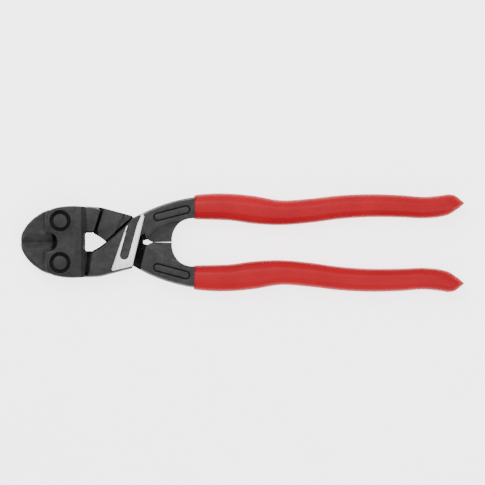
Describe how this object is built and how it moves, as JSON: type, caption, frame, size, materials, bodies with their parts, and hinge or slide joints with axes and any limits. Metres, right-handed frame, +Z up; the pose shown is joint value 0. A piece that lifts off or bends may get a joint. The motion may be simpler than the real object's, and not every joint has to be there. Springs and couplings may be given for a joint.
{
  "type": "compact bolt cutters",
  "caption": "Compact compound bolt cutters with short crossing jaws between riveted side plates, lap-jointed forged handles and curved dipped plastic grips.",
  "frame": {"origin": "centre of the bounding box's bottom face, under the closed tool lying flat", "axes": "+X along the tool from the head to the grip ends, +Y toward the upper handle, +Z up through the flat side"},
  "size_m": [0.2, 0.0444, 0.0136],
  "materials": {
    "forged_steel": "dark oxide, satin, bright where ground",
    "plate_steel": "dark oxide, satin",
    "jaw_steel": "hardened, satin",
    "rivet_steel": "satin",
    "pin_steel": "ground",
    "grip_plastic": "satin gloss"
  },
  "bodies": {
    "head_link": {"front_side_plate": "plate_steel", "rear_side_plate": "plate_steel", "upper_jaw_rivet": "rivet_steel", "lower_jaw_rivet": "rivet_steel"},
    "upper_jaw": {"upper_cutting_jaw": "jaw_steel"},
    "lower_jaw": {"lower_cutting_jaw": "jaw_steel"},
    "front_handle": {"front_handle_forging": "forged_steel", "front_link_pin": "pin_steel", "upper_grip": "grip_plastic"},
    "rear_handle": {"rear_handle_forging": "forged_steel", "rear_link_pin": "pin_steel", "main_pivot_pin": "pin_steel", "lower_grip": "grip_plastic"}
  },
  "joints": [
    {"name": "upper_jaw_pivot", "type": "hinge", "parent": "head_link", "child": "upper_jaw", "pos_m": [-0.082, -0.0094, 0.0068], "axis": [0, 0, -1], "range_deg": [0, 12]},
    {"name": "lower_jaw_pivot", "type": "hinge", "parent": "head_link", "child": "lower_jaw", "pos_m": [-0.082, 0.0094, 0.0068], "axis": [0, 0, 1], "range_deg": [0, 12]},
    {"name": "front_handle_link", "type": "hinge", "parent": "upper_jaw", "child": "front_handle", "pos_m": [-0.069, -0.0104, 0.0068], "axis": [0, 0, 1], "range_deg": [0, 21.9]},
    {"name": "rear_handle_link", "type": "hinge", "parent": "lower_jaw", "child": "rear_handle", "pos_m": [-0.069, 0.0104, 0.0068], "axis": [0, 0, -1], "range_deg": [0, 21.9]}
  ],
  "couplings": [
    {"joint": "lower_jaw_pivot", "follows": "upper_jaw_pivot", "ratio": 1},
    {"joint": "front_handle_link", "follows": "upper_jaw_pivot", "ratio": 1.822},
    {"joint": "rear_handle_link", "follows": "upper_jaw_pivot", "ratio": 1.822}
  ]
}
